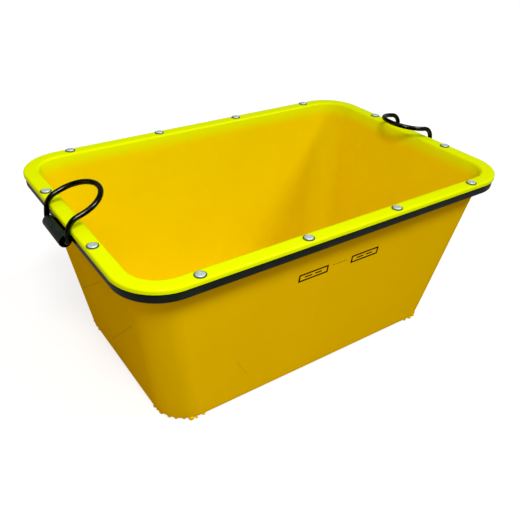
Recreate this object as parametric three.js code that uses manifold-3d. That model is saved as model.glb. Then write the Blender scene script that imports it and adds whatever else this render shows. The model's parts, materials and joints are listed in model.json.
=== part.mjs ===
// Mortar mixing tub: a glass-fibre tub riveted down on a square-tube steel rim frame, with a bail
// handle hinged in a pipe sleeve at each end so that it can be lifted by a crane.
// Millimetres. +Z up, origin on the ground under the tub's centre, X along the tub's length.
import * as THREE from "three";
import { mergeVertices } from "three/addons/utils/BufferGeometryUtils.js";
import Module from "manifold-3d";

const wasm = await Module();
wasm.setup();

// ---------------------------------------------------------------- driving dimensions
const RIM_LENGTH = 1000;
const RIM_WIDTH = 668;
const TUB_HEIGHT = 440; // ground to the top of the flange
const RIM_CORNER_RADIUS = 102;
const FLANGE_THICKNESS = 7;
const RIM_EDGE_RADIUS = 5;
const RIM_BEND_RADIUS = 7; // where the flange turns down into the tub
const LIP_DEPTH = 11; // flange top to the bottom of the turned-down edge
const LIP_THICKNESS = 2.4;

const BASE_LENGTH = 808; // where the sloping walls would meet the ground
const BASE_WIDTH = 494;
const BASE_CORNER_RADIUS = 78;
const BASE_FILLET_RADIUS = 18;
const FLOOR_THICKNESS = 7;
const WALL_THICKNESS = 6.5;
const FLOOR_FILLET_RADIUS = 12;

const NUB_RADIUS = 4.5; // wear nubs moulded under the fillet round each base corner
const NUB_HEIGHT = 7.5; // ends inside the shell's own thickness, clear of the inner skin
const NUB_INSET = 5;
const NUB_SPACING = 16;
const NUBS_PER_CORNER = 7;

const TUBE_SIZE = 25; // square tube of the rim frame
const TUBE_WALL = 2;
const TUBE_CORNER_RADIUS = 4;
const FRAME_INSET = 2.8; // tub's outer edge to the tube's outer face
const GAP = 0.3; // left between pieces that touch

const SLEEVE_RADIUS = 13.5; // three-quarter-inch pipe
const SLEEVE_BORE_RADIUS = 10.8;
const SLEEVE_LENGTH = 98;

const BAR_RADIUS = 6; // round bar of the handles
const HANDLE_WIDTH = 122; // leg centre to leg centre
const HANDLE_REACH = 95; // from the upper bend to the loop's end
const LEG_HEIGHT = 46; // pivot to the upper bend
const FOOT_BEND_RADIUS = 11;
const KNEE_BEND_RADIUS = 34;
const LEG_LEAN_DEG = 8; // how far the legs lean in when they rest on the rim
const LEFT_LOOP_RISE_DEG = 19.5; // slope of the loop above the horizontal, as bent
const RIGHT_LOOP_RISE_DEG = 9.5;

const RIVET_INSET = 14.5;
const RIVET_HEAD_RADIUS = 9.8;
const RIVET_HEAD_HEIGHT = 2.6;
const RIVET_SHANK_RADIUS = 3.2;
const RIVET_HOLE_RADIUS = 3.5;
const BULB_RADIUS = 4.8; // the blind end, spread inside the tube
const BULB_LENGTH = 7;
const MANDREL_HOLE_RADIUS = 1.7;
const MANDREL_HOLE_DEPTH = 1.6;
const WASHER_RADIUS = 12.3;
const WASHER_THICKNESS = 1.3;
const LONG_SIDE_RIVETS_X = [-363, -120.5, 120.5, 363];
const SHORT_SIDE_RIVETS_Y = [-132, 132];

// ---------------------------------------------------------------- facets
const CORNER_STEPS = 8;
const BASE_FILLET_STEPS = 5;
const FLOOR_FILLET_STEPS = 4;
const RIM_EDGE_STEPS = 3;
const RIM_BEND_STEPS = 4;
const FOOT_BEND_STEPS = 4;
const KNEE_BEND_STEPS = 5;
const LOOP_STEPS = 14;
const BAR_SIDES = 10;
const TUBE_OUTSIDE_STEPS = 2;
const TUBE_INSIDE_STEPS = 1;
const SLEEVE_SEGMENTS = 20;
const NUB_SIDES = 8;
const HOLE_SIDES = 12;
const RIVET_SIDES = 14;
const WASHER_SIDES = 16;

// ---------------------------------------------------------------- heights and half sizes
const RIM_TOP = TUB_HEIGHT;
const FLANGE_BOTTOM = RIM_TOP - FLANGE_THICKNESS;
const TUBE_TOP = FLANGE_BOTTOM - GAP;
const TUBE_MIDDLE = TUBE_TOP - TUBE_SIZE / 2;
const FRAME_FACE_X = RIM_LENGTH / 2 - FRAME_INSET;
const SLEEVE_X = FRAME_FACE_X + GAP + SLEEVE_RADIUS;
const SLEEVE_Z = RIM_TOP - LIP_DEPTH - GAP - SLEEVE_RADIUS;
const WALL_TOP_INSET = FRAME_INSET + TUBE_SIZE + GAP;

// ---------------------------------------------------------------- materials
const gelcoat = () => new THREE.MeshStandardMaterial({ color: 0xe2b800, roughness: 0.35, metalness: 0 });
const blackPaint = () => new THREE.MeshStandardMaterial({ color: 0x15181a, roughness: 0.4, metalness: 0.2 });
const zinc = () => new THREE.MeshStandardMaterial({ color: 0xa4b0ae, roughness: 0.35, metalness: 0.9 });

// ---------------------------------------------------------------- shape helpers
// A rounded rectangle as points, anticlockwise from the end of the +X side nearest the +Y side.
function roundedRectangle(halfX, halfY, radius, steps = CORNER_STEPS) {
  const points = [];
  for (let corner = 0; corner < 4; corner++) {
    const signX = corner === 0 || corner === 3 ? 1 : -1;
    const signY = corner < 2 ? 1 : -1;
    for (let step = 0; step <= steps; step++) {
      const angle = (corner + step / steps) * (Math.PI / 2);
      points.push([
        signX * (halfX - radius) + radius * Math.cos(angle),
        signY * (halfY - radius) + radius * Math.sin(angle),
      ]);
    }
  }
  return points;
}

// A solid lofted through rounded rectangles, each { halfX, halfY, radius, z }. A loft that isn't
// closed is capped flat at its first and last ring.
function loft(rings, { closed = false, steps = CORNER_STEPS } = {}) {
  const positions = [];
  const index = [];
  const perRing = 4 * (steps + 1);
  for (const ring of rings) {
    for (const [x, y] of roundedRectangle(ring.halfX, ring.halfY, ring.radius, steps)) {
      positions.push(x, y, ring.z);
    }
  }
  const spans = closed ? rings.length : rings.length - 1;
  for (let r = 0; r < spans; r++) {
    const next = (r + 1) % rings.length;
    for (let i = 0; i < perRing; i++) {
      const a = r * perRing + i;
      const b = r * perRing + ((i + 1) % perRing);
      const c = next * perRing + ((i + 1) % perRing);
      const d = next * perRing + i;
      index.push(a, b, c, a, c, d);
    }
  }
  if (!closed) {
    const last = (rings.length - 1) * perRing;
    const lowCentre = positions.length / 3;
    positions.push(0, 0, rings[0].z);
    positions.push(0, 0, rings[rings.length - 1].z);
    for (let i = 0; i < perRing; i++) {
      const next = (i + 1) % perRing;
      index.push(lowCentre, next, i);
      index.push(lowCentre + 1, last + i, last + next);
    }
  }
  const geometry = new THREE.BufferGeometry();
  geometry.setAttribute("position", new THREE.Float32BufferAttribute(positions, 3));
  geometry.setIndex(index);
  return geometry;
}

function toManifold(geometry) {
  const bare = geometry.clone();
  bare.deleteAttribute("normal");
  bare.deleteAttribute("uv");
  const merged = mergeVertices(bare, 1e-4);
  return new wasm.Manifold(
    new wasm.Mesh({
      numProp: 3,
      vertProperties: new Float32Array(merged.attributes.position.array),
      triVerts: new Uint32Array(merged.index.array),
    }),
  );
}

function toGeometry(solid) {
  const mesh = solid.getMesh();
  const geometry = new THREE.BufferGeometry();
  geometry.setAttribute("position", new THREE.BufferAttribute(mesh.vertProperties, 3));
  geometry.setIndex(new THREE.BufferAttribute(mesh.triVerts, 1));
  return geometry;
}

// A round peg standing on end between two heights.
function peg(x, y, low, high, radius, sides) {
  const geometry = new THREE.CylinderGeometry(radius, radius, high - low, sides);
  geometry.rotateX(Math.PI / 2);
  geometry.translate(x, y, (low + high) / 2);
  return toManifold(geometry);
}

function named(name, geometry, material) {
  const mesh = new THREE.Mesh(geometry, material);
  mesh.name = name;
  return mesh;
}

// ---------------------------------------------------------------- rivet places
function rivetPlaces() {
  const edgeX = RIM_LENGTH / 2 - RIVET_INSET;
  const edgeY = RIM_WIDTH / 2 - RIVET_INSET;
  const places = [];
  for (const [side, sign] of [["front", -1], ["back", 1]]) {
    LONG_SIDE_RIVETS_X.forEach((x, i) => places.push({ label: `${side}_${i + 1}`, x, y: sign * edgeY }));
  }
  for (const [side, sign] of [["left", -1], ["right", 1]]) {
    SHORT_SIDE_RIVETS_Y.forEach((y, i) => places.push({ label: `${side}_${i + 1}`, x: sign * edgeX, y }));
  }
  return places;
}

// ---------------------------------------------------------------- tub
// Half sizes of the tub's outer wall at a height, and the slope from the ground to the flange.
const OUTER_TOP = {
  halfX: RIM_LENGTH / 2 - WALL_TOP_INSET,
  halfY: RIM_WIDTH / 2 - WALL_TOP_INSET,
  radius: RIM_CORNER_RADIUS - WALL_TOP_INSET,
};

function outerWall(z, inset = 0) {
  const share = z / FLANGE_BOTTOM;
  return {
    halfX: THREE.MathUtils.lerp(BASE_LENGTH / 2, OUTER_TOP.halfX, share) - inset,
    halfY: THREE.MathUtils.lerp(BASE_WIDTH / 2, OUTER_TOP.halfY, share) - inset,
    radius: THREE.MathUtils.lerp(BASE_CORNER_RADIUS, OUTER_TOP.radius, share) - inset,
    z,
  };
}

// Rings that turn from a sloping wall into a flat floor at height floorZ, from the floor upwards.
function floorFillet(floorZ, radius, wallInset, steps) {
  const draft = Math.atan((OUTER_TOP.halfX - BASE_LENGTH / 2) / FLANGE_BOTTOM);
  const tangent = radius * Math.tan(Math.PI / 4 - draft / 2);
  const rings = [];
  for (let step = 0; step <= steps; step++) {
    const angle = THREE.MathUtils.lerp(Math.PI / 2, draft, step / steps);
    const inset = tangent - radius * Math.cos(angle);
    const corner = outerWall(floorZ, wallInset + inset);
    rings.push({ ...corner, z: floorZ + radius * (1 - Math.sin(angle)) });
  }
  return rings;
}

function rimRing(inset, z) {
  return {
    halfX: RIM_LENGTH / 2 - inset,
    halfY: RIM_WIDTH / 2 - inset,
    radius: RIM_CORNER_RADIUS - inset,
    z,
  };
}

// Rings round the rim's outer edge, over the flange and down into the tub.
function rimTop() {
  const rings = [rimRing(0, RIM_TOP - LIP_DEPTH)];
  for (let step = 0; step <= RIM_EDGE_STEPS; step++) {
    const angle = (step / RIM_EDGE_STEPS) * (Math.PI / 2);
    const inset = RIM_EDGE_RADIUS * (1 - Math.cos(angle));
    rings.push(rimRing(inset, RIM_TOP - RIM_EDGE_RADIUS * (1 - Math.sin(angle))));
  }
  const bendInset = WALL_TOP_INSET + WALL_THICKNESS - RIM_BEND_RADIUS;
  for (let step = 0; step <= RIM_BEND_STEPS; step++) {
    const angle = (step / RIM_BEND_STEPS) * (Math.PI / 2);
    const inset = bendInset + RIM_BEND_RADIUS * Math.sin(angle);
    rings.push(rimRing(inset, RIM_TOP - RIM_BEND_RADIUS * (1 - Math.cos(angle))));
  }
  return rings;
}

function wearNubs() {
  const straight = NUB_SPACING * (NUBS_PER_CORNER - 1);
  const arcRadius = BASE_CORNER_RADIUS - NUB_INSET;
  const arcLength = (arcRadius * Math.PI) / 2;
  const nubs = [];
  for (const signX of [-1, 1]) {
    for (const signY of [-1, 1]) {
      for (let i = 0; i < NUBS_PER_CORNER; i++) {
        // distance along the corner's arc, measured from its start on the long side
        const along = arcLength / 2 - straight / 2 + i * NUB_SPACING;
        const onArc = THREE.MathUtils.clamp(along, 0, arcLength);
        const angle = Math.PI / 2 - onArc / arcRadius;
        const before = Math.min(along, 0);
        const beyond = Math.max(along - arcLength, 0);
        const x = BASE_LENGTH / 2 - BASE_CORNER_RADIUS + arcRadius * Math.cos(angle) + before;
        const y = BASE_WIDTH / 2 - BASE_CORNER_RADIUS + arcRadius * Math.sin(angle) - beyond;
        nubs.push(peg(signX * x, signY * y, 0, NUB_HEIGHT, NUB_RADIUS, NUB_SIDES));
      }
    }
  }
  return nubs;
}

function tubShell() {
  const outerSkin = [...floorFillet(0, BASE_FILLET_RADIUS, 0, BASE_FILLET_STEPS), outerWall(FLANGE_BOTTOM)];
  const flangeUnderside = [
    rimRing(LIP_THICKNESS, FLANGE_BOTTOM),
    rimRing(LIP_THICKNESS, RIM_TOP - LIP_DEPTH),
  ];
  const innerSkin = floorFillet(
    FLOOR_THICKNESS,
    FLOOR_FILLET_RADIUS,
    WALL_THICKNESS,
    FLOOR_FILLET_STEPS,
  ).reverse();
  let tub = toManifold(loft([...outerSkin, ...flangeUnderside, ...rimTop(), ...innerSkin]));
  for (const nub of wearNubs()) {
    tub = tub.add(nub);
  }
  for (const { x, y } of rivetPlaces()) {
    tub = tub.subtract(peg(x, y, FLANGE_BOTTOM - 1, RIM_TOP + 1, RIVET_HOLE_RADIUS, HOLE_SIDES));
  }
  return named("tub_shell", toGeometry(tub), gelcoat());
}

// ---------------------------------------------------------------- rim frame
function frameRing(inset, z) {
  return rimRing(FRAME_INSET + inset, z);
}

// The rings round one square tube's section, inset from the tube's outer faces by a wall.
function tubeSection(wall, cornerSteps) {
  const half = TUBE_SIZE / 2 - wall;
  const cornerRadius = TUBE_CORNER_RADIUS - wall;
  const rings = [];
  for (const [across, up] of roundedRectangle(half, half, cornerRadius, cornerSteps)) {
    rings.push(frameRing(TUBE_SIZE / 2 - across, TUBE_MIDDLE + up));
  }
  return rings;
}

function rimFrame() {
  const outside = toManifold(loft(tubeSection(0, TUBE_OUTSIDE_STEPS), { closed: true }));
  const inside = toManifold(loft(tubeSection(TUBE_WALL, TUBE_INSIDE_STEPS), { closed: true }));
  let frame = outside.subtract(inside);
  for (const { x, y } of rivetPlaces()) {
    frame = frame.subtract(peg(x, y, TUBE_MIDDLE, TUBE_TOP + 1, RIVET_HOLE_RADIUS, HOLE_SIDES));
  }
  return named("rim_frame", toGeometry(frame), blackPaint());
}

// ---------------------------------------------------------------- sleeves and handles
function sleeve(name, side) {
  const section = new THREE.Shape().absarc(0, 0, SLEEVE_RADIUS, 0, Math.PI * 2);
  section.holes.push(new THREE.Path().absarc(0, 0, SLEEVE_BORE_RADIUS, 0, Math.PI * 2, true));
  const geometry = new THREE.ExtrudeGeometry(section, {
    depth: SLEEVE_LENGTH,
    bevelEnabled: false,
    curveSegments: SLEEVE_SEGMENTS,
  });
  geometry.translate(0, 0, -SLEEVE_LENGTH / 2);
  geometry.rotateX(Math.PI / 2);
  const mesh = named(name, geometry, blackPaint());
  mesh.position.set(side * SLEEVE_X, 0, SLEEVE_Z);
  return mesh;
}

// Points on the arc that rounds the corner between two neighbours, both ends included.
function roundCorner(before, corner, after, radius, steps) {
  const back = before.clone().sub(corner).normalize();
  const ahead = after.clone().sub(corner).normalize();
  const halfAngle = back.angleTo(ahead) / 2;
  const bisector = back.clone().add(ahead).normalize();
  const centre = bisector.multiplyScalar(radius / Math.sin(halfAngle)).add(corner);
  const start = back.clone().multiplyScalar(radius / Math.tan(halfAngle)).add(corner).sub(centre);
  const axis = back.clone().cross(ahead).normalize();
  const turn = Math.PI - 2 * halfAngle;
  const points = [];
  for (let step = 0; step <= steps; step++) {
    points.push(start.clone().applyAxisAngle(axis, (-turn * step) / steps).add(centre));
  }
  return points;
}

// A handle's closed centreline, about its pivot, with X towards the tub's middle.
function bailCentreline(loopRiseDeg) {
  const lean = THREE.MathUtils.degToRad(LEG_LEAN_DEG);
  const rise = THREE.MathUtils.degToRad(loopRiseDeg);
  const half = HANDLE_WIDTH / 2;
  const at = (base, y) => base.clone().setY(y);
  const pivot = new THREE.Vector3();
  const knee = new THREE.Vector3(Math.sin(lean), 0, Math.cos(lean)).multiplyScalar(LEG_HEIGHT);
  const along = new THREE.Vector3(Math.cos(rise), 0, Math.sin(rise));
  const arcStart = knee.clone().addScaledVector(along, HANDLE_REACH - half);
  const points = [
    ...roundCorner(pivot, at(pivot, -half), at(knee, -half), FOOT_BEND_RADIUS, FOOT_BEND_STEPS),
    ...roundCorner(at(pivot, -half), at(knee, -half), at(arcStart, -half), KNEE_BEND_RADIUS, KNEE_BEND_STEPS),
  ];
  for (let step = 0; step <= LOOP_STEPS; step++) {
    const angle = Math.PI * (step / LOOP_STEPS - 0.5);
    points.push(at(arcStart, half * Math.sin(angle)).addScaledVector(along, half * Math.cos(angle)));
  }
  points.push(
    ...roundCorner(at(arcStart, half), at(knee, half), at(pivot, half), KNEE_BEND_RADIUS, KNEE_BEND_STEPS),
    ...roundCorner(at(knee, half), at(pivot, half), pivot, FOOT_BEND_RADIUS, FOOT_BEND_STEPS),
  );
  return points;
}

// A round bar along a closed centreline.
function closedBar(points, radius, sides) {
  const count = points.length;
  const positions = [];
  const index = [];
  const normal = new THREE.Vector3(1, 0, 0);
  points.forEach((point, i) => {
    const before = points[(i + count - 1) % count];
    const after = points[(i + 1) % count];
    const tangent = after.clone().sub(before).normalize();
    normal.addScaledVector(tangent, -normal.dot(tangent)).normalize();
    const binormal = tangent.clone().cross(normal);
    for (let k = 0; k < sides; k++) {
      const angle = (2 * Math.PI * k) / sides;
      const spot = point.clone();
      spot.addScaledVector(normal, radius * Math.cos(angle));
      spot.addScaledVector(binormal, radius * Math.sin(angle));
      positions.push(spot.x, spot.y, spot.z);
    }
  });
  for (let i = 0; i < count; i++) {
    const ring = i * sides;
    const next = ((i + 1) % count) * sides;
    for (let k = 0; k < sides; k++) {
      const turn = (k + 1) % sides;
      index.push(ring + k, ring + turn, next + turn);
      index.push(ring + k, next + turn, next + k);
    }
  }
  const geometry = new THREE.BufferGeometry();
  geometry.setAttribute("position", new THREE.Float32BufferAttribute(positions, 3));
  geometry.setIndex(index);
  return geometry;
}

function bailHandle(name, side, loopRiseDeg) {
  const mesh = named(name, closedBar(bailCentreline(loopRiseDeg), BAR_RADIUS, BAR_SIDES), blackPaint());
  mesh.position.set(side * SLEEVE_X, 0, SLEEVE_Z);
  mesh.rotation.z = side > 0 ? Math.PI : 0;
  return mesh;
}

// ---------------------------------------------------------------- rivets and washers
// A turned piece standing on end at a rivet's place, from [radius, height] pairs.
function turned(name, profile, sides, { x, y }) {
  const points = profile.map(([radius, height]) => new THREE.Vector2(radius, height));
  const mesh = named(name, new THREE.LatheGeometry(points, sides), zinc());
  mesh.rotation.x = Math.PI / 2;
  mesh.position.set(x, y, 0);
  return mesh;
}

function washer(place) {
  const low = RIM_TOP + GAP;
  const profile = [
    [RIVET_HOLE_RADIUS, low],
    [WASHER_RADIUS, low],
    [WASHER_RADIUS, low + WASHER_THICKNESS],
    [RIVET_HOLE_RADIUS, low + WASHER_THICKNESS],
    [RIVET_HOLE_RADIUS, low],
  ];
  return turned(`washer_${place.label}`, profile, WASHER_SIDES, place);
}

// A blind rivet: the bulb set inside the frame tube, the shank, and the domed head with the
// mandrel's hole in it.
function rivet(place) {
  const grip = TUBE_TOP - TUBE_WALL - GAP;
  const head = RIM_TOP + WASHER_THICKNESS + 2 * GAP;
  const crown = head + RIVET_HEAD_HEIGHT;
  const profile = [
    [0, grip - BULB_LENGTH],
    [RIVET_SHANK_RADIUS, grip - BULB_LENGTH],
    [BULB_RADIUS, grip - BULB_LENGTH / 2],
    [BULB_RADIUS, grip],
    [RIVET_SHANK_RADIUS, grip],
    [RIVET_SHANK_RADIUS, head],
    [RIVET_HEAD_RADIUS, head],
    [RIVET_HEAD_RADIUS * 0.94, head + RIVET_HEAD_HEIGHT * 0.35],
    [RIVET_HEAD_RADIUS * 0.6, head + RIVET_HEAD_HEIGHT * 0.8],
    [MANDREL_HOLE_RADIUS, crown],
    [MANDREL_HOLE_RADIUS, crown - MANDREL_HOLE_DEPTH],
    [0, crown - MANDREL_HOLE_DEPTH],
  ];
  return turned(`rivet_${place.label}`, profile, RIVET_SIDES, place);
}

// ---------------------------------------------------------------- assembly
const mortarTub = new THREE.Group();
mortarTub.add(tubShell());
mortarTub.add(rimFrame());
mortarTub.add(sleeve("sleeve_left", -1));
mortarTub.add(sleeve("sleeve_right", 1));
mortarTub.add(bailHandle("handle_left", -1, LEFT_LOOP_RISE_DEG));
mortarTub.add(bailHandle("handle_right", 1, RIGHT_LOOP_RISE_DEG));
for (const place of rivetPlaces()) {
  mortarTub.add(washer(place));
  mortarTub.add(rivet(place));
}

export default mortarTub;
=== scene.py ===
import json
import math
import random

import bpy
from mathutils import Matrix, Vector, noise


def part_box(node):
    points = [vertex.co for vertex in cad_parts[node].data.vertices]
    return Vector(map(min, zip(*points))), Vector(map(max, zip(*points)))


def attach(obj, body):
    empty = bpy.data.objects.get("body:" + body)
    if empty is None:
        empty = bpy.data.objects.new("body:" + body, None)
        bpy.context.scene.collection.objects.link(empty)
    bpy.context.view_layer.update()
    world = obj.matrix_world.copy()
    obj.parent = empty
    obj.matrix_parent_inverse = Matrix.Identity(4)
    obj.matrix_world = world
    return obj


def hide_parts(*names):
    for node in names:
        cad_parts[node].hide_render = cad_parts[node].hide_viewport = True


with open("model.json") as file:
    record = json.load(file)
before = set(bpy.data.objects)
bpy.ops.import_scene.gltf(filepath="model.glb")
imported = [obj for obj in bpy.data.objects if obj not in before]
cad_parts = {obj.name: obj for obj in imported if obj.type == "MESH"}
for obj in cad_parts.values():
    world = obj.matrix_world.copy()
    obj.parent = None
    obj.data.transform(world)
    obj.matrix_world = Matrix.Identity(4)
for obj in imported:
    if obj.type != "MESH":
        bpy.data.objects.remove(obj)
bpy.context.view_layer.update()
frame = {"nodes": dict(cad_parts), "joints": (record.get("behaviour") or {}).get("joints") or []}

MM = 0.001

# ---------------------------------------------------------------- sizes read from the frame
TUB_LOW, TUB_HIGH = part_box("tub_shell")
TUBE_LOW, TUBE_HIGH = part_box("rim_frame")
RIM_X, RIM_Y, RIM_TOP = TUB_HIGH
JOINTS = {joint["child"]: Vector(joint["pos_m"]) for joint in frame["joints"]}

# ---------------------------------------------------------------- tub
RIM_CORNER = 102 * MM
FLANGE_THICKNESS = 7 * MM
RIM_EDGE = 5 * MM
RIM_BEND = 7 * MM
LIP_DEPTH = 11 * MM
LIP_THICKNESS = 2.4 * MM
LIP_ROUNDING = 0.7 * MM
WALL_TOP_INSET = 28.1 * MM
BASE_X = 404 * MM
BASE_Y = 247 * MM
BASE_CORNER = 78 * MM
BASE_FILLET = 18 * MM
WALL_THICKNESS = 6.5 * MM
FLOOR_THICKNESS = 7 * MM
FLOOR_FILLET = 12 * MM
FLANGE_BOTTOM = RIM_TOP - FLANGE_THICKNESS
WAVE_HEIGHT = 0.35 * MM  # hand-laid walls are never quite flat
WAVE_LENGTH = 110 * MM

# Where overlaps of the glass mat show through the outside: the two ends of each, in metres.
SEAMS = [
    ((-0.426, 0.168, 0.141), (-0.450, -0.041, 0.293)),
    ((-0.414, 0.033, 0.066), (-0.447, -0.190, 0.274)),
    ((-0.246, -0.266, 0.137), (-0.212, -0.258, 0.077)),
]
SEAM_WIDTH = 3.2 * MM
SEAM_TINT = 0.4
SEAM_RELIEF = 0.25
SEAM_HEIGHT = 0.4 * MM
PAINTED_SHADE_BAND = 75 * MM  # how far below the frame the wall gets painted shade: an amber tint for the frame's shadow
PAINTED_SHADE_SHARE = 0.55
PAINTED_LIGHT_START = 44 * MM  # below the rim: painted light turns the wall lemon between these two depths, for the strong light on the flange
PAINTED_LIGHT_END = 4 * MM

# ---------------------------------------------------------------- resin lumps at the base corners
LUMPS_PER_CORNER = 9
LUMP_SPACING = 16 * MM
LUMP_SCATTER = 6 * MM
LUMP_INSET = (1 * MM, 6 * MM)
LUMP_MIDDLE = (3.5 * MM, 6.5 * MM)
LUMP_RADIUS = (3.8 * MM, 6.6 * MM)
LUMP_SIDES = 14
LUMP_SEED = 7

# ---------------------------------------------------------------- rim frame, sleeves and handles
TUBE_CORNER = 4 * MM
TUBE_CORNER_STEPS = 6
TUBE_INSET = RIM_X - TUBE_HIGH.x
TUBE_SIZE = TUBE_HIGH.z - TUBE_LOW.z
SLEEVE_RADIUS = 13.5 * MM
SLEEVE_BORE = 10.8 * MM
SLEEVE_LENGTH = 98 * MM
SLEEVE_ROUNDING = 0.7 * MM
WELD_RADIUS = 2.6 * MM
WELD_LENGTH = 24 * MM
WELD_RIPPLE = 2.4 * MM
WELD_RIPPLE_DEPTH = 0.12  # share of the bead's radius
WELD_OUT = 1.5 * MM  # from the tube's outer face
WELD_DROP = 6.6 * MM  # below the sleeve's axis
WELD_SETBACK = 3 * MM  # from the sleeve's end
WELD_TIP = 0.45  # share of the full radius at the bead's ends
WELD_SWELL = 5.0
WELD_STEPS = 60
WELD_SIDES = 14
BAR_RADIUS = 5.8 * MM
HANDLE_WIDTH = 122 * MM
HANDLE_REACH = 95 * MM
LEG_HEIGHT = 46 * MM
FOOT_BEND = 11 * MM
KNEE_BEND = 34 * MM
LEG_LEAN = math.radians(8)
LOOP_RISE = {"handle_left": math.radians(19.5), "handle_right": math.radians(9.5)}
FOOT_STEPS = 10
KNEE_STEPS = 16
LOOP_STEPS = 48
FOOT_RUN_STEPS = 12
BAR_SIDES = 28

# ---------------------------------------------------------------- rivets and washers
HEAD_RADIUS = 9.8 * MM
HEAD_HEIGHT = 2.6 * MM
HEAD_RIM = 0.5 * MM
HEAD_ROUNDING = 0.2 * MM
HEAD_ARC = (0.12 * math.pi, 0.5 * math.pi)
HEAD_STEPS = 9
SHANK_RADIUS = 3.2 * MM
HOLE_RADIUS = 3.5 * MM
MANDREL_RADIUS = 1.7 * MM
MANDREL_DEPTH = 1.6 * MM
MANDREL_EDGE_WIDTH = 0.4 * MM
MANDREL_EDGE_DEPTH = 0.25 * MM
CROWN_RADIUS = MANDREL_RADIUS + 0.5 * MM
WASHER_RADIUS = 12.3 * MM
WASHER_THICKNESS = 1.3 * MM
WASHER_ROUNDING = 0.35 * MM
ZINC_METALLIC = 0.6
FASTENER_SEED = 11

# ---------------------------------------------------------------- printed marks on the front wall
MARK_WIDTH = 80 * MM
MARK_HEIGHT = 20.5 * MM
MARK_GAP = 66 * MM
MARK_MIDDLE = 323 * MM
MARK_LINE = 3.8 * MM
MARK_BAR = 3.2 * MM
MARK_BARS = ((16 * MM, 36 * MM), (44 * MM, 62 * MM))  # their ends, from the box's left edge
MARK_STEP = 10 * MM
DASH_COUNT = 7
DASH_PITCH = 6 * MM
DASH_LENGTH = 2.4 * MM
DASH_LOW = 326.6 * MM
DASH_HIGH = 328.6 * MM
MARK_PROUD = 0.25 * MM
MARK_SUNK = 0.8 * MM

# ---------------------------------------------------------------- camera
CAMERA_PLACE = (-0.7991, -1.0994, 1.0479)
CAMERA_AZIMUTH = math.radians(35.85)
CAMERA_ELEVATION = math.radians(32.78)
CAMERA_ROLL = math.radians(2.36)
CAMERA_LENS = 42.5
CAMERA_SENSOR = 36  # millimetres, as the lens is

# ---------------------------------------------------------------- stage and light
FLOOR_HALF = 12.0
SUN_DISTANCE = 3.0
FLOOR_GLOW = 0.72
SKY_LIGHT = 0.26
SKY_SEEN = 1.0
BLACK_LEVEL = 0.02

# ---------------------------------------------------------------- facets
CORNER_STEPS = 44
LONG_STEPS = 40
SHORT_STEPS = 26
WALL_STEPS = 18
FILLET_STEPS = 18
BEND_STEPS = 8
ROUND_SIDES = 36
EDGE_CUT = 0.3  # how far a rounded edge's middle point stands in, as a share of its rounding
SHARP_ANGLE = math.radians(38)


# ---------------------------------------------------------------- mesh helpers
def add_piece(name, vertices, faces, materials, body, replaced=()):
    """A smooth-shaded mesh object that rides on a body and stands for the replaced CAD nodes."""
    mesh = bpy.data.meshes.new(name)
    mesh.from_pydata([tuple(v) for v in vertices], [], faces)
    for material in materials:
        mesh.materials.append(material)
    mesh.shade_smooth()
    mesh.set_sharp_from_angle(angle=SHARP_ANGLE)
    piece = bpy.data.objects.new(name, mesh)
    bpy.context.scene.collection.objects.link(piece)
    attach(piece, body)
    if replaced:
        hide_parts(*replaced)
    return piece


def rounded_rectangle(half_x, half_y, radius):
    """Points anticlockwise round a rounded rectangle, always the same count."""
    corners = [(1, 1), (-1, 1), (-1, -1), (1, -1)]
    points = []
    for index, (sign_x, sign_y) in enumerate(corners):
        centre = Vector((sign_x * (half_x - radius), sign_y * (half_y - radius)))
        for step in range(CORNER_STEPS + 1):
            angle = (index + step / CORNER_STEPS) * math.pi / 2
            points.append(centre + radius * Vector((math.cos(angle), math.sin(angle))))
        next_x, next_y = corners[(index + 1) % 4]
        turned = (index + 1) * math.pi / 2
        next_centre = Vector((next_x * (half_x - radius), next_y * (half_y - radius)))
        goal = next_centre + radius * Vector((math.cos(turned), math.sin(turned)))
        steps = LONG_STEPS if index % 2 == 0 else SHORT_STEPS
        start = points[-1]
        points.extend(start.lerp(goal, step / steps) for step in range(1, steps))
    return points


def ring_vertices(rings):
    return [Vector((p.x, p.y, z)) for hx, hy, r, z in rings for p in rounded_rectangle(hx, hy, r)]


def ring_faces(ring_count, per_ring, closed):
    """Quads between neighbouring rings, and the last ring back to the first where closed."""
    faces = []
    for ring in range(ring_count if closed else ring_count - 1):
        here = ring * per_ring
        ahead = ((ring + 1) % ring_count) * per_ring
        for i in range(per_ring):
            j = (i + 1) % per_ring
            faces.append((here + i, here + j, ahead + j, ahead + i))
    return faces


def arc(start, end, steps):
    """Angles from start to end, both included."""
    return [start + (end - start) * step / steps for step in range(steps + 1)]


def lathe(profile, sides):
    """Vertices and faces of a profile of (radius, height) pairs turned round Z; it closes on itself
    or ends on the axis at both ends."""
    on_axis = profile[0][0] == 0
    vertices = []
    ring = profile[1:-1] if on_axis else profile
    for radius, height in ring:
        for side in range(sides):
            angle = 2 * math.pi * side / sides
            vertices.append(Vector((radius * math.cos(angle), radius * math.sin(angle), height)))
    faces = ring_faces(len(ring), sides, closed=not on_axis)
    if on_axis:
        vertices.append(Vector((0, 0, profile[0][1])))
        vertices.append(Vector((0, 0, profile[-1][1])))
        first, last = len(vertices) - 2, len(vertices) - 1
        top = (len(ring) - 1) * sides
        for side in range(sides):
            beside = (side + 1) % sides
            faces.append((first, beside, side))
            faces.append((last, top + side, top + beside))
    return vertices, faces


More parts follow.
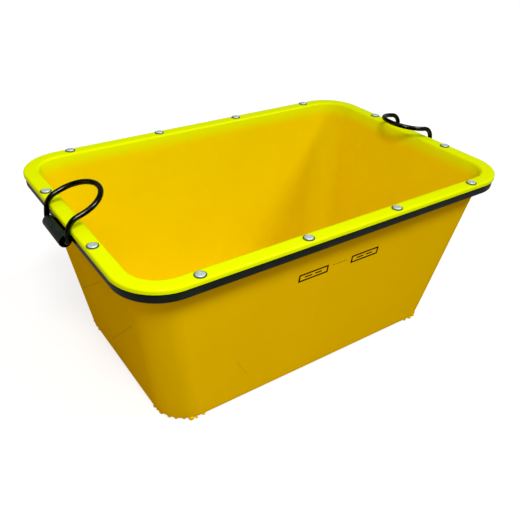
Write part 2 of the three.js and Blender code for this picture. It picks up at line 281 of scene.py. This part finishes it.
def sweep(points, radii, sides, closed):
    """A round bar along points, with a radius at each."""
    count = len(points)
    normal = Vector((1, 0, 0))
    vertices = []
    for i, point in enumerate(points):
        before = points[i - 1] if closed or i > 0 else point
        after = points[(i + 1) % count] if closed or i < count - 1 else point
        tangent = (after - before).normalized()
        normal = (normal - tangent * normal.dot(tangent)).normalized()
        binormal = tangent.cross(normal)
        for side in range(sides):
            angle = 2 * math.pi * side / sides
            outward = normal * math.cos(angle) + binormal * math.sin(angle)
            vertices.append(point + radii[i] * outward)
    faces = ring_faces(count, sides, closed)
    if not closed:
        faces.append(tuple(reversed(range(sides))))
        faces.append(tuple((count - 1) * sides + side for side in range(sides)))
    return vertices, faces


def joined(parts):
    """Several (vertices, faces) pairs as one."""
    vertices, faces = [], []
    for part_vertices, part_faces in parts:
        offset = len(vertices)
        vertices += part_vertices
        faces += [tuple(i + offset for i in face) for face in part_faces]
    return vertices, faces


# ---------------------------------------------------------------- material helpers
def start_material(name):
    material = bpy.data.materials.new(name)
    material.use_nodes = True
    return material, material.node_tree, material.node_tree.nodes["Principled BSDF"]


def node(tree, kind, inputs=None, **settings):
    """A node with its settings and inputs; an input is a value or another node's socket."""
    made = tree.nodes.new(kind)
    for key, value in settings.items():
        setattr(made, key, value)
    for key, value in (inputs or {}).items():
        if isinstance(value, bpy.types.NodeSocket):
            tree.links.new(value, made.inputs[key])
        else:
            made.inputs[key].default_value = value
    return made


def place(tree):
    return tree.nodes.new("ShaderNodeTexCoord").outputs["Object"]


def noise_value(tree, where, scale, detail=3.0, roughness=0.55):
    inputs = {"Vector": where, "Scale": scale, "Detail": detail, "Roughness": roughness}
    return node(tree, "ShaderNodeTexNoise", inputs).outputs["Fac"]


def ranged(tree, value, from_low, from_high, to_low=0.0, to_high=1.0, smooth=False):
    inputs = {
        "Value": value,
        "From Min": from_low,
        "From Max": from_high,
        "To Min": to_low,
        "To Max": to_high,
    }
    kind = "SMOOTHSTEP" if smooth else "LINEAR"
    return node(tree, "ShaderNodeMapRange", inputs, interpolation_type=kind).outputs["Result"]


def mixed(tree, share, first, second):
    """Colour mix; first and second are colours or sockets."""
    mix = tree.nodes.new("ShaderNodeMix")
    mix.data_type = "RGBA"
    for socket, value in ((mix.inputs[0], share), (mix.inputs[6], first), (mix.inputs[7], second)):
        if isinstance(value, bpy.types.NodeSocket):
            tree.links.new(value, socket)
        else:
            socket.default_value = value
    return mix.outputs[2]


def bumped(tree, height, strength, distance, below=None):
    inputs = {"Height": height, "Strength": strength, "Distance": distance}
    if below is not None:
        inputs["Normal"] = below
    return node(tree, "ShaderNodeBump", inputs).outputs["Normal"]


def vector_math(tree, operation, *inputs):
    return node(tree, "ShaderNodeVectorMath", dict(enumerate(inputs)), operation=operation)


# ---------------------------------------------------------------- materials
def near_seam(tree, where, start, end):
    """1 on the line between two points, fading to 0 a short way off it."""
    start, end = Vector(start), Vector(end)
    span = end - start
    offset = vector_math(tree, "SUBTRACT", where, tuple(start)).outputs[0]
    along = tuple(span / span.length_squared)
    reach = vector_math(tree, "DOT_PRODUCT", offset, along).outputs["Value"]
    share = ranged(tree, reach, 0.0, 1.0)
    foot = node(tree, "ShaderNodeVectorMath", {0: tuple(span), "Scale": share}, operation="SCALE")
    gap = vector_math(tree, "DISTANCE", offset, foot.outputs[0]).outputs["Value"]
    return ranged(tree, gap, 0.0, SEAM_WIDTH, 1.0, 0.0, smooth=True)


def seam_lines(tree, where):
    """The overlaps of the glass mat that show through the outside."""
    total = 0.0
    for start, end in SEAMS:
        line = near_seam(tree, where, start, end)
        total = node(tree, "ShaderNodeMath", {0: total, 1: line}, operation="MAXIMUM").outputs[0]
    worn = ranged(tree, noise_value(tree, where, scale=60.0), 0.3, 0.6, 0.35, 1.0)
    return node(tree, "ShaderNodeMath", {0: total, 1: worn}, operation="MULTIPLY").outputs[0]


def gelcoat(name, wall, deep_wall, roughness, gloss, tinted_sheen, seams_and_shade):
    """Glass-fibre moulding: deep yellow walls, with painted light that turns them lemon up at the
    flange, where strong light falls.
    The outside shows the overlaps of the glass mat as faint seams, and has painted shade under the
    frame: an amber tint for the frame's shadow. A little of the sheen can take the resin's colour,
    as light does that enters clear resin before it comes back."""
    # lemon is painted light: it stands for the strong light falling on the flange
    painted_light_lemon = (0.78, 0.90, 0.004, 1)
    # amber is painted shade: it stands for the frame's shadow on the outer wall
    painted_shade_amber = (0.80, 0.38, 0.001, 1)
    seam_tint = (0.50, 0.27, 0.002, 1)
    material, tree, shader = start_material(name)
    where = place(tree)
    height = node(tree, "ShaderNodeSeparateXYZ", {"Vector": where}).outputs["Z"]
    mottle = noise_value(tree, where, scale=7.0)
    colour = mixed(tree, ranged(tree, mottle, 0.3, 0.7), wall, deep_wall)
    grain = noise_value(tree, where, scale=22.0, detail=1.0)
    normal = bumped(tree, grain, strength=0.02, distance=0.6 * MM)
    if seams_and_shade:
        seam = seam_lines(tree, where)
        tint = node(tree, "ShaderNodeMath", {0: seam, 1: SEAM_TINT}, operation="MULTIPLY")
        colour = mixed(tree, tint.outputs[0], colour, seam_tint)
        normal = bumped(tree, seam, SEAM_RELIEF, SEAM_HEIGHT, below=normal)
        # Painted shade: the wall just below the frame is tinted amber for the frame's shadow.
        frame_bottom = TUBE_LOW.z
        band_low = frame_bottom - PAINTED_SHADE_BAND
        painted_shade_under_frame = ranged(tree, height, band_low, frame_bottom, 0.0, PAINTED_SHADE_SHARE, smooth=True)
        colour = mixed(tree, painted_shade_under_frame, colour, painted_shade_amber)
    # Painted light: the walls turn lemon towards the rim, where strong light falls.
    rise = ranged(tree, height, RIM_TOP - PAINTED_LIGHT_START, RIM_TOP - PAINTED_LIGHT_END, smooth=True)
    tree.links.new(mixed(tree, rise, colour, painted_light_lemon), shader.inputs["Base Color"])
    scuffs = noise_value(tree, where, scale=9.0, roughness=0.5)
    rough = ranged(tree, scuffs, 0.3, 0.75, roughness - 0.05, roughness + 0.05)
    tree.links.new(rough, shader.inputs["Roughness"])
    tree.links.new(normal, shader.inputs["Normal"])
    shader.inputs["Specular IOR Level"].default_value = gloss
    shader.inputs["Metallic"].default_value = tinted_sheen
    return material


def black_paint(name, dark, light, rough_low, rough_high):
    """Brushed-on black enamel over steel, with slight thickness and gloss changes."""
    material, tree, shader = start_material(name)
    where = place(tree)
    patches = noise_value(tree, where, scale=32.0, detail=5.0)
    colour = mixed(tree, ranged(tree, patches, 0.3, 0.75), dark, light)
    tree.links.new(colour, shader.inputs["Base Color"])
    dust = noise_value(tree, where, scale=90.0, detail=6.0, roughness=0.7)
    rough = ranged(tree, dust, 0.3, 0.7, rough_low, rough_high)
    tree.links.new(rough, shader.inputs["Roughness"])
    runs = noise_value(tree, where, scale=240.0)
    normal = bumped(tree, runs, strength=0.05, distance=0.2 * MM)
    tree.links.new(normal, shader.inputs["Normal"])
    shader.inputs["Specular IOR Level"].default_value = 0.5
    return material


def zinc_plate(name, plated, dulled):
    """Zinc-plated steel with fine scratches and a little dulling."""
    material, tree, shader = start_material(name)
    where = place(tree)
    dulling = noise_value(tree, where, scale=420.0, detail=4.0)
    colour = mixed(tree, ranged(tree, dulling, 0.35, 0.7), plated, dulled)
    tree.links.new(colour, shader.inputs["Base Color"])
    scratches = noise_value(tree, where, scale=1500.0, detail=2.0)
    rough = ranged(tree, scratches, 0.3, 0.7, 0.36, 0.55)
    tree.links.new(rough, shader.inputs["Roughness"])
    normal = bumped(tree, scratches, strength=0.15, distance=0.1 * MM)
    tree.links.new(normal, shader.inputs["Normal"])
    shader.inputs["Metallic"].default_value = ZINC_METALLIC
    return material


def marking_ink():
    material, tree, shader = start_material("marking_ink")
    wear = noise_value(tree, place(tree), scale=500.0, detail=4.0)
    black, rubbed = (0.002, 0.002, 0.002, 1), (0.012, 0.010, 0.004, 1)
    ink = mixed(tree, ranged(tree, wear, 0.5, 0.8), black, rubbed)
    tree.links.new(ink, shader.inputs["Base Color"])
    shader.inputs["Roughness"].default_value = 0.5
    shader.inputs["Specular IOR Level"].default_value = 0.12
    return material


def seen_directly(tree, amount):
    """A strength that only what the camera sees directly gets, and that lights nothing."""
    seen = tree.nodes.new("ShaderNodeLightPath").outputs["Is Camera Ray"]
    return ranged(tree, seen, 0.0, 1.0, 0.0, amount)


def pale_floor():
    material, tree, shader = start_material("pale_floor")
    drift = noise_value(tree, place(tree), scale=1.5)
    tone = mixed(tree, drift, (0.43, 0.43, 0.43, 1), (0.45, 0.45, 0.45, 1))
    tree.links.new(tone, shader.inputs["Base Color"])
    shader.inputs["Roughness"].default_value = 0.9
    shader.inputs["Specular IOR Level"].default_value = 0.0
    shader.inputs["Emission Color"].default_value = (1, 1, 1, 1)
    tree.links.new(seen_directly(tree, FLOOR_GLOW), shader.inputs["Emission Strength"])
    return material


OUTER_GELCOAT = gelcoat(
    "gelcoat_outside",
    wall=(0.90, 0.555, 0.001, 1),
    deep_wall=(0.88, 0.535, 0.001, 1),
    roughness=0.5,
    gloss=0.0,
    tinted_sheen=0.08,
    seams_and_shade=True,
)
INNER_GELCOAT = gelcoat(
    "gelcoat_inside",
    wall=(0.88, 0.665, 0.001, 1),
    deep_wall=(0.86, 0.640, 0.001, 1),
    roughness=0.3,
    gloss=0.1,
    tinted_sheen=0.0,
    seams_and_shade=False,
)
FRAME_PAINT = black_paint(
    "frame_paint",
    dark=(0.007, 0.012, 0.010, 1),
    light=(0.012, 0.018, 0.015, 1),
    rough_low=0.3,
    rough_high=0.42,
)
SLEEVE_PAINT = black_paint(
    "sleeve_paint",
    dark=(0.016, 0.023, 0.019, 1),
    light=(0.026, 0.036, 0.030, 1),
    rough_low=0.34,
    rough_high=0.48,
)
HANDLE_PAINT = black_paint(
    "handle_paint",
    dark=(0.006, 0.008, 0.007, 1),
    light=(0.010, 0.012, 0.011, 1),
    rough_low=0.2,
    rough_high=0.3,
)
HEAD_ZINC = zinc_plate("head_zinc", plated=(0.86, 0.97, 0.95, 1), dulled=(0.55, 0.68, 0.66, 1))
# The washers are partly painted shade: their zinc is made dark for the shadow ring round each rivet
# head.
SHADED_WASHER_ZINC = zinc_plate("washer_zinc", plated=(0.20, 0.26, 0.20, 1), dulled=(0.09, 0.12, 0.08, 1))
INK = marking_ink()


# ---------------------------------------------------------------- tub moulding
def rim_ring(inset, z):
    return (RIM_X - inset, RIM_Y - inset, RIM_CORNER - inset, z)


def wall_ring(z, inset=0.0):
    share = z / FLANGE_BOTTOM
    top_x, top_y, top_corner, _ = rim_ring(WALL_TOP_INSET, z)
    return (
        BASE_X + (top_x - BASE_X) * share - inset,
        BASE_Y + (top_y - BASE_Y) * share - inset,
        BASE_CORNER + (top_corner - BASE_CORNER) * share - inset,
        z,
    )


def fillet_rings(floor_z, radius, wall_inset):
    """Rings from a flat floor up into the sloping wall."""
    draft = math.atan((RIM_X - WALL_TOP_INSET - BASE_X) / FLANGE_BOTTOM)
    tangent = radius * math.tan(math.pi / 4 - draft / 2)
    rings = []
    for angle in arc(math.pi / 2, draft, FILLET_STEPS):
        inset = wall_inset + tangent - radius * math.cos(angle)
        half_x, half_y, corner, _ = wall_ring(floor_z, inset)
        rings.append((half_x, half_y, corner, floor_z + radius * (1 - math.sin(angle))))
    return rings


def wall_rings(low, high, inset):
    steps = range(1, WALL_STEPS + 1)
    return [wall_ring(low + (high - low) * step / WALL_STEPS, inset) for step in steps]


def lip_rings():
    """From under the flange, round the bottom of the turned-down lip and up to its outer face."""
    bottom = RIM_TOP - LIP_DEPTH
    return [
        rim_ring(LIP_THICKNESS, FLANGE_BOTTOM),
        rim_ring(LIP_THICKNESS, bottom + LIP_ROUNDING),
        rim_ring(LIP_THICKNESS - LIP_ROUNDING, bottom),
        rim_ring(LIP_ROUNDING, bottom),
        rim_ring(0, bottom + LIP_ROUNDING),
    ]


def flange_rings():
    """Up the lip's outer face, over the flange and down the bend into the tub."""
    rings = []
    for angle in arc(0, math.pi / 2, BEND_STEPS):
        z = RIM_TOP - RIM_EDGE * (1 - math.sin(angle))
        rings.append(rim_ring(RIM_EDGE * (1 - math.cos(angle)), z))
    bend_inset = WALL_TOP_INSET + WALL_THICKNESS - RIM_BEND
    for angle in arc(0, math.pi / 2, BEND_STEPS):
        z = RIM_TOP - RIM_BEND * (1 - math.cos(angle))
        rings.append(rim_ring(bend_inset + RIM_BEND * math.sin(angle), z))
    return rings


def wave(point):
    """How far a hand-laid wall stands inside its true plane at a point."""
    return WAVE_HEIGHT * 0.5 * (1 + noise.noise(Vector(point) / WAVE_LENGTH))


def corner_point(along, inset):
    """The point a distance along a base corner's arc, in plan. Before the arc's start and past its
    end the point runs on along the straight side."""
    arc_radius = BASE_CORNER - inset
    arc_length = arc_radius * math.pi / 2
    angle = min(max(along, 0), arc_length) / arc_radius
    x = BASE_X - BASE_CORNER + arc_radius * math.sin(angle) + min(along, 0)
    y = BASE_Y - BASE_CORNER + arc_radius * math.cos(angle) - max(along - arc_length, 0)
    return x, y


def bead(centre, radius, chance):
    """A rounded lump, pressed flat where it would reach below the ground."""
    angles = arc(0, math.pi, LUMP_SIDES // 2)
    profile = [(radius * math.sin(a), -radius * math.cos(a)) for a in angles]
    profile[0] = (0, -radius)
    profile[-1] = (0, radius)
    vertices, faces = lathe(profile, LUMP_SIDES)
    sideways = chance.uniform(0.8, 1.3), chance.uniform(0.8, 1.3)
    stretch = Vector((*sideways, chance.uniform(0.75, 1.1)))
    for vertex in vertices:
        vertex.x *= stretch.x
        vertex.y *= stretch.y
        vertex.z = max(vertex.z * stretch.z + centre.z, 0)
        vertex.x += centre.x
        vertex.y += centre.y
    return vertices, faces


def make_lumps():
    """Resin that ran and set under each base corner."""
    chance = random.Random(LUMP_SEED)
    arc_length = (BASE_CORNER - LUMP_INSET[0]) * math.pi / 2
    parts = []
    for sign_x in (-1, 1):
        for sign_y in (-1, 1):
            for i in range(LUMPS_PER_CORNER):
                middle = (i - (LUMPS_PER_CORNER - 1) / 2) * LUMP_SPACING
                along = arc_length / 2 + middle + chance.uniform(-LUMP_SCATTER, LUMP_SCATTER)
                x, y = corner_point(along, chance.uniform(*LUMP_INSET))
                centre = Vector((sign_x * x, sign_y * y, chance.uniform(*LUMP_MIDDLE)))
                parts.append(bead(centre, chance.uniform(*LUMP_RADIUS), chance))
    vertices, faces = joined(parts)
    add_piece("resin_lumps", vertices, faces, [OUTER_GELCOAT], "tub")


def make_tub():
    outer = fillet_rings(0, BASE_FILLET, 0)
    outer += wall_rings(outer[-1][3], FLANGE_BOTTOM, 0)
    outer += lip_rings()
    floor = fillet_rings(FLOOR_THICKNESS, FLOOR_FILLET, WALL_THICKNESS)
    inner_wall = wall_rings(floor[-1][3], RIM_TOP - RIM_BEND, WALL_THICKNESS)[:-1]
    rings = outer + flange_rings() + inner_wall[::-1] + floor[::-1]
    vertices = ring_vertices(rings)
    per_ring = len(vertices) // len(rings)
    faces = ring_faces(len(rings), per_ring, closed=False)
    faces.append(tuple(reversed(range(per_ring))))
    faces.append(tuple((len(rings) - 1) * per_ring + i for i in range(per_ring)))

    outer_wall_end = (len(outer) - len(lip_rings()) - 1) * per_ring
    for vertex in vertices[:outer_wall_end]:
        if vertex.z > BASE_FILLET:
            inward = Vector((-vertex.x, -vertex.y, 0)).normalized()
            vertex += inward * wave(vertex)

    skins = [OUTER_GELCOAT, INNER_GELCOAT]
    tub = add_piece("tub_moulding", vertices, faces, skins, "tub", ["tub_shell"])
    outside_faces = (len(outer) - 1) * per_ring
    for polygon in tub.data.polygons:
        outside = polygon.index < outside_faces or polygon.index == len(faces) - 2
        polygon.material_index = 0 if outside else 1


# ---------------------------------------------------------------- rim frame
def make_frame():
    half = TUBE_SIZE / 2
    middle = (TUBE_LOW.z + TUBE_HIGH.z) / 2
    rings = []
    for corner in range(4):
        sign_x = 1 if corner in (0, 3) else -1
        sign_z = 1 if corner < 2 else -1
        for angle in arc(corner * math.pi / 2, (corner + 1) * math.pi / 2, TUBE_CORNER_STEPS):
            across = sign_x * (half - TUBE_CORNER) + TUBE_CORNER * math.cos(angle)
            up = sign_z * (half - TUBE_CORNER) + TUBE_CORNER * math.sin(angle)
            rings.append(rim_ring(TUBE_INSET + half - across, middle + up))
    vertices = ring_vertices(rings)
    faces = ring_faces(len(rings), len(vertices) // len(rings), closed=True)
    add_piece("rim_frame_tube", vertices, faces, [FRAME_PAINT], "tub", ["rim_frame"])


# ---------------------------------------------------------------- sleeves and their welds
def make_sleeve(side, node_name, centre):
    half = SLEEVE_LENGTH / 2
    r = SLEEVE_ROUNDING
    profile = [
        (SLEEVE_RADIUS, -half + r),
        (SLEEVE_RADIUS, half - r),
        (SLEEVE_RADIUS - EDGE_CUT * r, half - EDGE_CUT * r),
        (SLEEVE_RADIUS - r, half),
        (SLEEVE_BORE + r, half),
        (SLEEVE_BORE + EDGE_CUT * r, half - EDGE_CUT * r),
        (SLEEVE_BORE, half - r),
        (SLEEVE_BORE, -half + r),
        (SLEEVE_BORE + EDGE_CUT * r, -half + EDGE_CUT * r),
        (SLEEVE_BORE + r, -half),
        (SLEEVE_RADIUS - r, -half),
        (SLEEVE_RADIUS - EDGE_CUT * r, -half + EDGE_CUT * r),
    ]
    vertices, faces = lathe(profile, ROUND_SIDES)
    lay_down = Matrix.Translation(centre) @ Matrix.Rotation(-math.pi / 2, 4, "X")
    vertices = [lay_down @ v for v in vertices]
    name = f"pipe_{node_name}"
    add_piece(name, vertices, faces, [SLEEVE_PAINT], "tub", [node_name])
    for end in (-1, 1):
        make_weld(f"{node_name}_weld_{'front' if end < 0 else 'back'}", side, end, centre)


def make_weld(name, side, end, centre):
    """A short rippled bead in the groove under the sleeve, where it meets the frame tube."""
    x = side * (RIM_X - TUBE_INSET + WELD_OUT)
    z = centre.z - WELD_DROP
    points, radii = [], []
    for step in range(WELD_STEPS + 1):
        share = step / WELD_STEPS
        y = end * (SLEEVE_LENGTH / 2 - WELD_SETBACK - share * WELD_LENGTH)
        crest = abs(math.cos(math.pi * share * WELD_LENGTH / WELD_RIPPLE))
        ripple = 1 - WELD_RIPPLE_DEPTH + WELD_RIPPLE_DEPTH * crest
        taper = min(1.0, WELD_TIP + WELD_SWELL * share, WELD_TIP + WELD_SWELL * (1 - share))
        points.append(Vector((x, y, z)))
        radii.append(WELD_RADIUS * ripple * taper)
    vertices, faces = sweep(points, radii, WELD_SIDES, closed=False)
    add_piece(name, vertices, faces, [SLEEVE_PAINT], "tub")


# ---------------------------------------------------------------- handles
def round_corner(before, corner, after, radius, steps):
    """Points on the arc that rounds a corner between two neighbours."""
    back = (before - corner).normalized()
    ahead = (after - corner).normalized()
    half_angle = back.angle(ahead) / 2
    centre = corner + (back + ahead).normalized() * radius / math.sin(half_angle)
    start = corner + back * radius / math.tan(half_angle) - centre
    axis = back.cross(ahead).normalized()
    angles = arc(0, math.pi - 2 * half_angle, steps)
    return [centre + Matrix.Rotation(-a, 3, axis) @ start for a in angles]


def straight(start, end, steps):
    return [start.lerp(end, step / steps) for step in range(1, steps)]


def bail_centreline(rise):
    """A handle's closed centreline about its pivot, with X towards the tub's middle."""
    half = HANDLE_WIDTH / 2
    knee = Vector((math.sin(LEG_LEAN), 0, math.cos(LEG_LEAN))) * LEG_HEIGHT
    along = Vector((math.cos(rise), 0, math.sin(rise)))
    loop_start = knee + along * (HANDLE_REACH - half)
    left, right = Vector((0, -half, 0)), Vector((0, half, 0))
    origin = Vector()
    points = round_corner(origin, left, knee + left, FOOT_BEND, FOOT_STEPS)
    points += round_corner(left, knee + left, loop_start + left, KNEE_BEND, KNEE_STEPS)
    for angle in arc(-math.pi / 2, math.pi / 2, LOOP_STEPS):
        points.append(loop_start + along * half * math.cos(angle) + right * math.sin(angle))
    points += round_corner(loop_start + right, knee + right, right, KNEE_BEND, KNEE_STEPS)
    points += round_corner(knee + right, right, origin, FOOT_BEND, FOOT_STEPS)
    points += straight(points[-1], points[0], FOOT_RUN_STEPS)
    return points


def make_handle(name, side):
    turn = Matrix.Rotation(math.pi if side > 0 else 0, 3, "Z")
    points = [JOINTS[name] + turn @ p for p in bail_centreline(LOOP_RISE[name])]
    vertices, faces = sweep(points, [BAR_RADIUS] * len(points), BAR_SIDES, closed=True)
    add_piece(f"bail_{name}", vertices, faces, [HANDLE_PAINT], name, [name])


# ---------------------------------------------------------------- rivets and washers
def washer_profile(base):
    r = WASHER_ROUNDING
    washer_top = base + WASHER_THICKNESS
    return [
        (HOLE_RADIUS, base),
        (WASHER_RADIUS - r, base),
        (WASHER_RADIUS, base + r),
        (WASHER_RADIUS, washer_top - r),
        (WASHER_RADIUS - EDGE_CUT * r, washer_top - EDGE_CUT * r),
        (WASHER_RADIUS - r, washer_top),
        (HOLE_RADIUS, washer_top),
    ]


def rivet_profile(bottom, crown):
    """A domed head on its shank, with the broken mandrel's low cone down the hole in the crown."""
    head = crown - HEAD_HEIGHT
    profile = [
        (0, bottom),
        (SHANK_RADIUS, bottom),
        (SHANK_RADIUS, head),
        (HEAD_RADIUS - HEAD_ROUNDING, head),
        (HEAD_RADIUS, head + HEAD_ROUNDING),
        (HEAD_RADIUS, head + HEAD_RIM),
    ]
    for angle in arc(*HEAD_ARC, HEAD_STEPS)[:-1]:
        radius = CROWN_RADIUS + (HEAD_RADIUS - CROWN_RADIUS) * math.cos(angle)
        profile.append((radius, head + HEAD_RIM + (HEAD_HEIGHT - HEAD_RIM) * math.sin(angle)))
    return profile + [
        (MANDREL_RADIUS + MANDREL_EDGE_WIDTH, crown),
        (MANDREL_RADIUS, crown - MANDREL_EDGE_DEPTH),
        (MANDREL_RADIUS, crown - MANDREL_DEPTH),
        (MANDREL_RADIUS * 0.7, crown - MANDREL_DEPTH),
        (MANDREL_RADIUS * 0.45, crown - MANDREL_DEPTH * 0.55),
        (0, crown - MANDREL_DEPTH * 0.45),
    ]


def make_fastener(label, chance):
    """A blind rivet on its flat washer, turned by chance as they are when set by hand."""
    washer_low, washer_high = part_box(f"washer_{label}")
    rivet_low, rivet_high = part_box(f"rivet_{label}")
    middle = (washer_low + washer_high) / 2
    spin = Matrix.Rotation(chance.uniform(0, 2 * math.pi), 4, "Z")
    put = Matrix.Translation((middle.x, middle.y, 0)) @ spin
    for name, replaced, profile, zinc in (
        (f"flat_washer_{label}", f"washer_{label}", washer_profile(washer_low.z), SHADED_WASHER_ZINC),
        (
            f"blind_rivet_{label}",
            f"rivet_{label}",
            rivet_profile(rivet_low.z, rivet_high.z),
            HEAD_ZINC,
        ),
    ):
        vertices, faces = lathe(profile, ROUND_SIDES)
        vertices = [put @ v for v in vertices]
        add_piece(name, vertices, faces, [zinc], "tub", [replaced])


# ---------------------------------------------------------------- printed marks
def on_front_wall(x, z, proud):
    half_y = wall_ring(z)[1]
    surface = Vector((x, -half_y, z))
    return surface + Vector((0, wave(surface) - proud, 0))


def strip(x_low, x_high, z_low, z_high):
    """A thin closed slab on the front wall, following it along its length."""
    steps = max(1, round((x_high - x_low) / MARK_STEP))
    section = [(z_low, -MARK_SUNK), (z_low, MARK_PROUD), (z_high, MARK_PROUD), (z_high, -MARK_SUNK)]
    vertices = []
    for step in range(steps + 1):
        x = x_low + (x_high - x_low) * step / steps
        vertices += [on_front_wall(x, z, proud) for z, proud in section]
    faces = ring_faces(steps + 1, 4, closed=False)
    faces.append((3, 2, 1, 0))
    faces.append(tuple(steps * 4 + i for i in range(4)))
    return vertices, faces


def make_marks():
    """Two outlined boxes with plain bars in them, and a row of dashes between: no lettering."""
    low, high = MARK_MIDDLE - MARK_HEIGHT / 2, MARK_MIDDLE + MARK_HEIGHT / 2
    bar_low, bar_high = MARK_MIDDLE - MARK_BAR / 2, MARK_MIDDLE + MARK_BAR / 2
    for name, x in (("left", -MARK_GAP / 2 - MARK_WIDTH), ("right", MARK_GAP / 2)):
        far = x + MARK_WIDTH
        parts = [
            strip(x, far, low, low + MARK_LINE),
            strip(x, far, high - MARK_LINE, high),
            strip(x, x + MARK_LINE, low + MARK_LINE, high - MARK_LINE),
            strip(far - MARK_LINE, far, low + MARK_LINE, high - MARK_LINE),
        ]
        parts += [strip(x + start, x + end, bar_low, bar_high) for start, end in MARK_BARS]
        vertices, faces = joined(parts)
        add_piece(f"printed_box_{name}", vertices, faces, [INK], "tub")
    half = DASH_LENGTH / 2
    middles = [(i - (DASH_COUNT - 1) / 2) * DASH_PITCH for i in range(DASH_COUNT)]
    dashes = [strip(middle - half, middle + half, DASH_LOW, DASH_HIGH) for middle in middles]
    vertices, faces = joined(dashes)
    add_piece("printed_dashes", vertices, faces, [INK], "tub")


# ---------------------------------------------------------------- stage, lights and camera
def make_stage():
    mesh = bpy.data.meshes.new("floor")
    corners = [(x * FLOOR_HALF, y * FLOOR_HALF, 0) for x, y in ((-1, -1), (1, -1), (1, 1), (-1, 1))]
    mesh.from_pydata(corners, [], [(0, 1, 2, 3)])
    mesh.materials.append(pale_floor())
    floor = bpy.data.objects.new("floor", mesh)
    bpy.context.scene.collection.objects.link(floor)


def hang_lamp(name, light, azimuth, elevation, distance):
    """A lamp aimed at the tub from an azimuth (0 is the front, 90 the left) and an elevation."""
    lamp = bpy.data.objects.new(name, light)
    bpy.context.scene.collection.objects.link(lamp)
    turn, rise = math.radians(azimuth), math.radians(elevation)
    level = math.cos(rise)
    source = Vector((-math.sin(turn) * level, -math.cos(turn) * level, math.sin(rise)))
    lamp.location = Vector((0, 0, RIM_TOP / 2)) + source * distance
    lamp.rotation_euler = source.to_track_quat("Z", "Y").to_euler()
    lamp.visible_camera = False


def add_sun(name, azimuth, elevation, strength, spread, colour=(1, 1, 1)):
    light = bpy.data.lights.new(name, "SUN")
    light.energy = strength
    light.angle = math.radians(spread)
    light.color = colour
    hang_lamp(name, light, azimuth, elevation, SUN_DISTANCE)


def add_softbox(name, azimuth, elevation, distance, power, width):
    light = bpy.data.lights.new(name, "AREA")
    light.shape = "SQUARE"
    light.size = width
    light.energy = power
    hang_lamp(name, light, azimuth, elevation, distance)


def make_lights():
    world = bpy.data.worlds.new("studio")
    bpy.context.scene.world = world
    world.use_nodes = True
    tree = world.node_tree
    background = tree.nodes["Background"]
    seen = seen_directly(tree, SKY_SEEN - SKY_LIGHT)
    total = node(tree, "ShaderNodeMath", {0: seen, 1: SKY_LIGHT}, operation="ADD")
    tree.links.new(total.outputs[0], background.inputs["Strength"])
    background.inputs["Color"].default_value = (1, 1, 1, 1)
    add_softbox("key", azimuth=31, elevation=50, distance=2.6, power=30, width=0.55)
    add_sun("side", azimuth=-48, elevation=46, strength=1.14, spread=15)
    add_sun("ceiling", azimuth=10, elevation=80, strength=0.38, spread=50)
    warm = (1.0, 0.45, 0.12)
    add_sun("warm_fill", azimuth=100, elevation=14, strength=0.3, spread=40, colour=warm)


def make_camera():
    data = bpy.data.cameras.new("camera")
    data.lens = CAMERA_LENS
    data.sensor_width = CAMERA_SENSOR
    camera = bpy.data.objects.new("camera", data)
    bpy.context.scene.collection.objects.link(camera)
    camera.matrix_world = (
        Matrix.Translation(CAMERA_PLACE)
        @ Matrix.Rotation(-CAMERA_AZIMUTH, 4, "Z")
        @ Matrix.Rotation(math.pi / 2 - CAMERA_ELEVATION, 4, "X")
        @ Matrix.Rotation(CAMERA_ROLL, 4, "Z")
    )
    bpy.context.scene.camera = camera


def set_picture_tone():
    """Plain display colours with the blacks set a little down, as a camera's contrast does."""
    settings = bpy.context.scene.view_settings
    settings.view_transform = "Standard"
    settings.use_curve_mapping = True
    settings.curve_mapping.black_level = (BLACK_LEVEL, BLACK_LEVEL, BLACK_LEVEL)
    settings.curve_mapping.update()


# ---------------------------------------------------------------- assembly
make_camera()
make_stage()
make_lights()
make_tub()
make_lumps()
make_frame()
for side, end in ((-1, "left"), (1, "right")):
    make_sleeve(side, f"sleeve_{end}", JOINTS[f"handle_{end}"])
    make_handle(f"handle_{end}", side)
fastener_chance = random.Random(FASTENER_SEED)
for washer_node in sorted(n for n in frame["nodes"] if n.startswith("washer_")):
    make_fastener(washer_node.removeprefix("washer_"), fastener_chance)
make_marks()

set_picture_tone()
bpy.context.view_layer.update()
